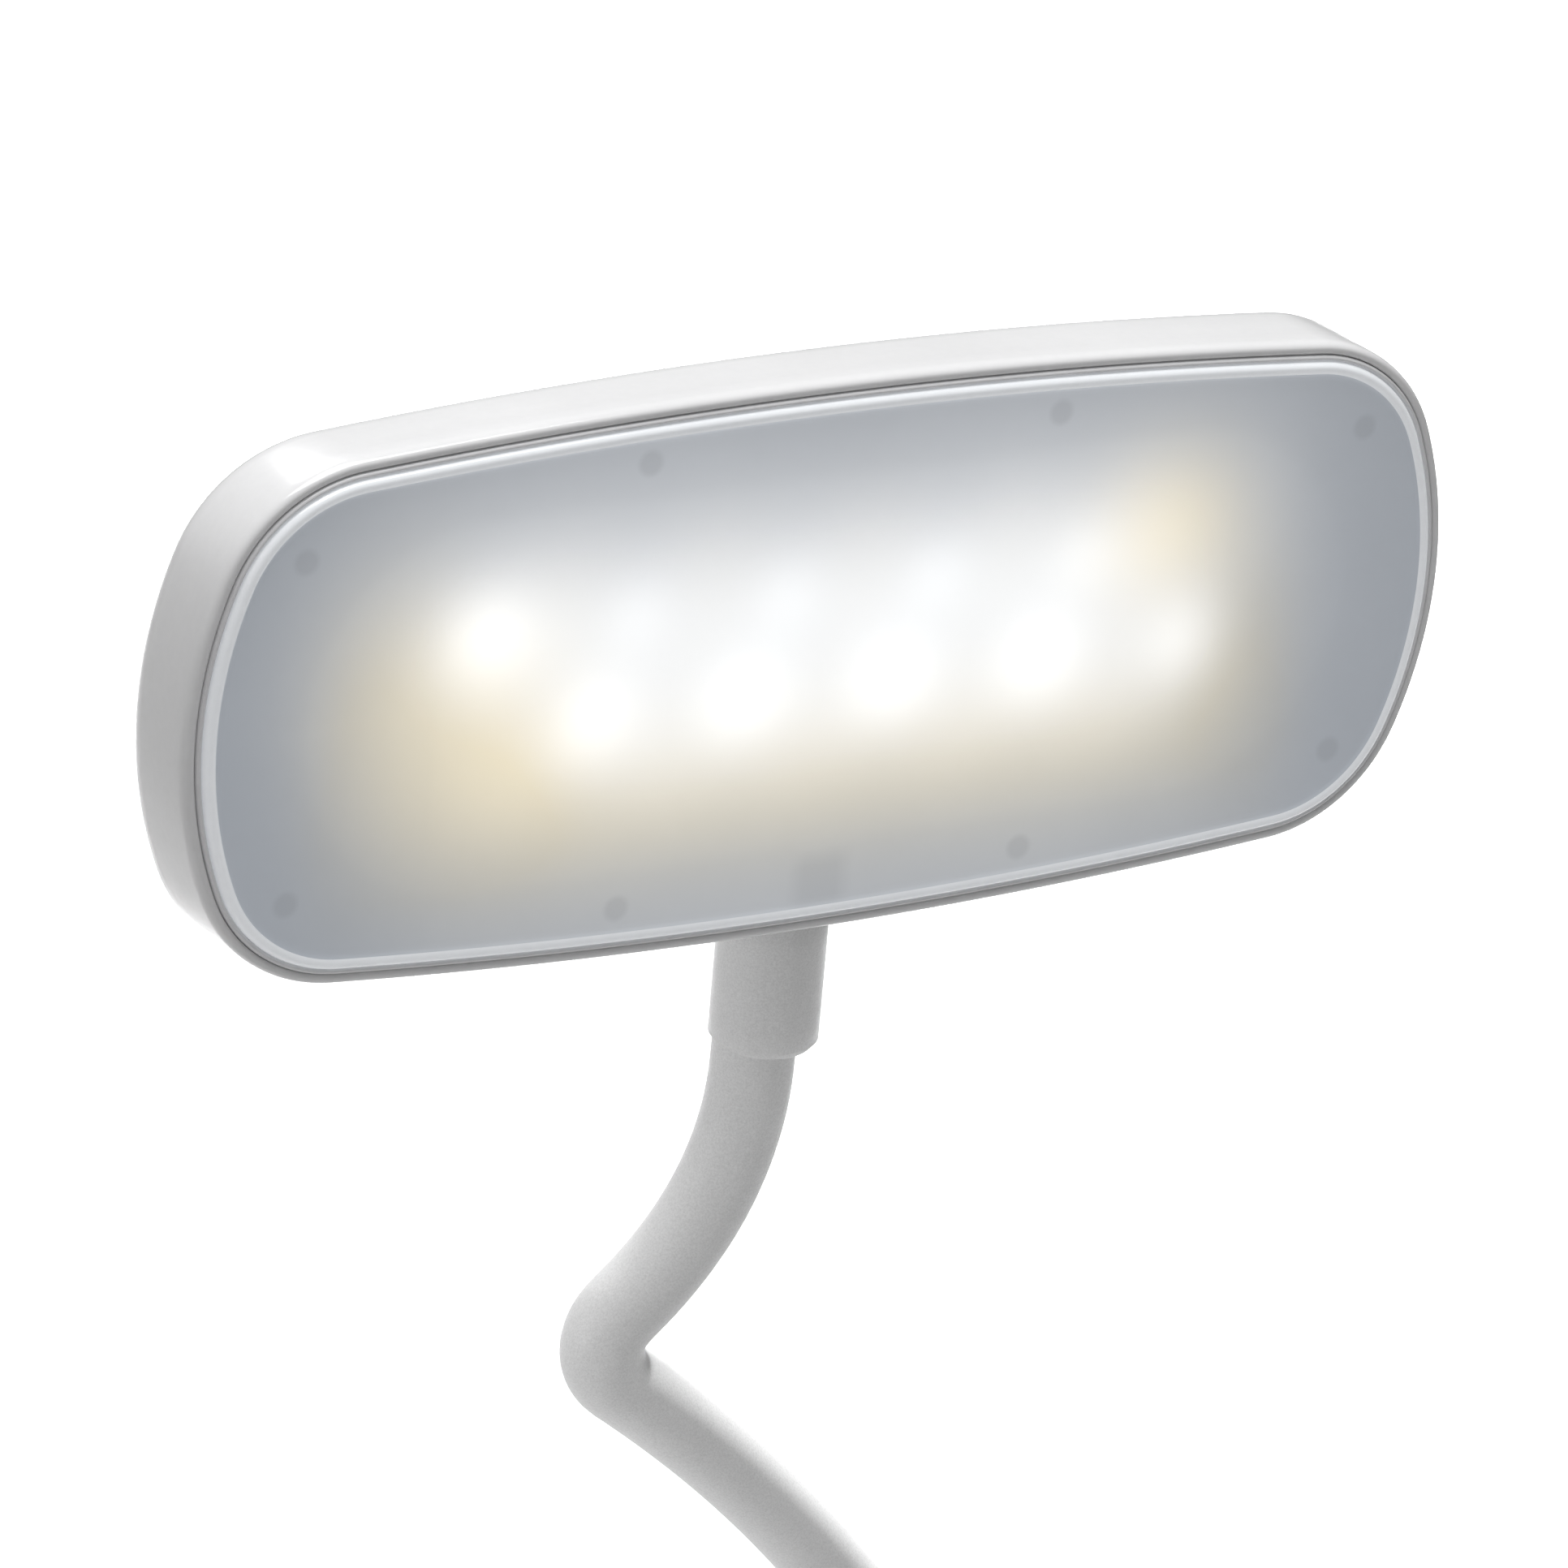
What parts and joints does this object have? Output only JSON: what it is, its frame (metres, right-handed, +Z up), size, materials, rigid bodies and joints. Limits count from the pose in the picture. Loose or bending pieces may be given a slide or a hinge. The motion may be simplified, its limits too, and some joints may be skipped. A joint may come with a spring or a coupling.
{
  "type": "clip on reading lamp",
  "caption": "Clip-on reading lamp: a wide rounded LED panel with a frosted diffuser on a bent gooseneck, rising from a spring clip that also stands on a table.",
  "frame": {"origin": "on the table under the middle of the whole lamp, at the bottom of the sole", "axes": "+Z up, -Y the way the diffuser faces, +X to the right of someone who looks at the diffuser"},
  "size_m": [0.156, 0.046, 0.2867],
  "materials": {
    "white_shell": "gloss white moulded ABS",
    "white_collar": "satin white moulded plastic",
    "frosted_diffuser": "frosted translucent acrylic, lit from behind",
    "white_reflector": "matt white sheet",
    "led_board": "white coated circuit board",
    "cool_led": "cool white LED package",
    "warm_led": "warm white LED package",
    "silicone_sleeve": "matt light grey silicone with a fine speckle",
    "steel_core": "wound flexible steel",
    "steel": "zinc plated steel",
    "weight_steel": "plain steel plate",
    "battery_foil": "foil pouch cell",
    "circuit_board": "green solder mask",
    "switch_plastic": "black moulded plastic",
    "socket_metal": "pressed nickel plated steel",
    "button_plastic": "satin grey plastic",
    "light_pipe": "clear light pipe",
    "grip_rubber": "dark grey rubber"
  },
  "bodies": {
    "clip_base": {"lower_jaw": "white_shell", "lower_jaw_pad": "grip_rubber", "base_weight": "weight_steel", "base_sole": "grip_rubber", "hinge_pin": "steel", "spring_leg": "steel"},
    "clip_body": {"housing_base": "white_shell", "housing_cover": "white_shell", "housing_screws": "steel", "battery": "battery_foil", "control_board": "circuit_board", "tact_switches": "switch_plastic", "charge_socket": "socket_metal", "charge_light": "light_pipe", "upper_jaw": "white_shell", "jaw_screws": "steel", "upper_jaw_pad": "grip_rubber", "torsion_spring": "steel", "neck_ferrule": "white_collar", "neck_nut": "steel", "neck_stub": "silicone_sleeve", "core_stub": "steel_core"},
    "power_button": {"power_button": "button_plastic"},
    "colour_button": {"colour_button": "button_plastic"},
    "neck_link_1": {"neck_sleeve_1": "silicone_sleeve", "core_1": "steel_core"},
    "neck_link_2": {"neck_sleeve_2": "silicone_sleeve", "core_2": "steel_core"},
    "neck_link_3": {"neck_sleeve_3": "silicone_sleeve", "core_3": "steel_core"},
    "neck_link_4": {"neck_sleeve_4": "silicone_sleeve", "core_4": "steel_core"},
    "neck_link_5": {"neck_sleeve_5": "silicone_sleeve", "core_5": "steel_core"},
    "head": {"neck_sleeve_6": "silicone_sleeve", "core_6": "steel_core", "head_collar": "white_collar", "head_shell": "white_shell", "head_bezel": "white_shell", "diffuser": "frosted_diffuser", "reflector_sheet": "white_reflector", "led_board": "led_board", "cool_leds": "cool_led", "warm_leds": "warm_led", "board_screws": "steel", "neck_anchor": "steel", "anchor_screws": "steel"}
  },
  "joints": [
    {"name": "clip_hinge", "type": "hinge", "parent": "clip_base", "child": "clip_body", "pos_m": [0.03509, 0, 0.022], "axis": [0, 1, 0], "range_deg": [0, 28], "stiffness_Nm_per_rad": 0.8, "springref_deg": -45.84},
    {"name": "power_press", "type": "slide", "parent": "clip_body", "child": "power_button", "axis": [0, 0, -1], "range_m": [0, 0.0006], "stiffness_N_per_m": 1500, "springref_m": -0.0005},
    {"name": "colour_press", "type": "slide", "parent": "clip_body", "child": "colour_button", "axis": [0, 0, -1], "range_m": [0, 0.0006], "stiffness_N_per_m": 1500, "springref_m": -0.0005},
    {"name": "neck_1_side", "type": "hinge", "parent": "clip_body", "child": "neck_link_1", "pos_m": [0.03309, 0, 0.06], "axis": [0, 1, 0], "range_deg": [-25, 25]},
    {"name": "neck_2_tilt", "type": "hinge", "parent": "neck_link_1", "child": "neck_link_2", "pos_m": [0.03309, 0, 0.084], "axis": [1, 0, 0], "range_deg": [-25, 25]},
    {"name": "neck_3_side", "type": "hinge", "parent": "neck_link_2", "child": "neck_link_3", "pos_m": [0.02953, 0, 0.11163], "axis": [0, 1, 0], "range_deg": [-25, 25]},
    {"name": "neck_4_tilt", "type": "hinge", "parent": "neck_link_3", "child": "neck_link_4", "pos_m": [0.00346, 0, 0.14997], "axis": [0.6972, 0, 0.7169], "range_deg": [-25, 25]},
    {"name": "neck_5_side", "type": "hinge", "parent": "neck_link_4", "child": "neck_link_5", "pos_m": [-0.01366, 0, 0.17505], "axis": [0, 1, 0], "range_deg": [-25, 25]},
    {"name": "neck_6_tilt", "type": "hinge", "parent": "neck_link_5", "child": "head", "pos_m": [0, 0, 0.2029], "axis": [1, 0, 0], "range_deg": [-25, 25]}
  ]
}
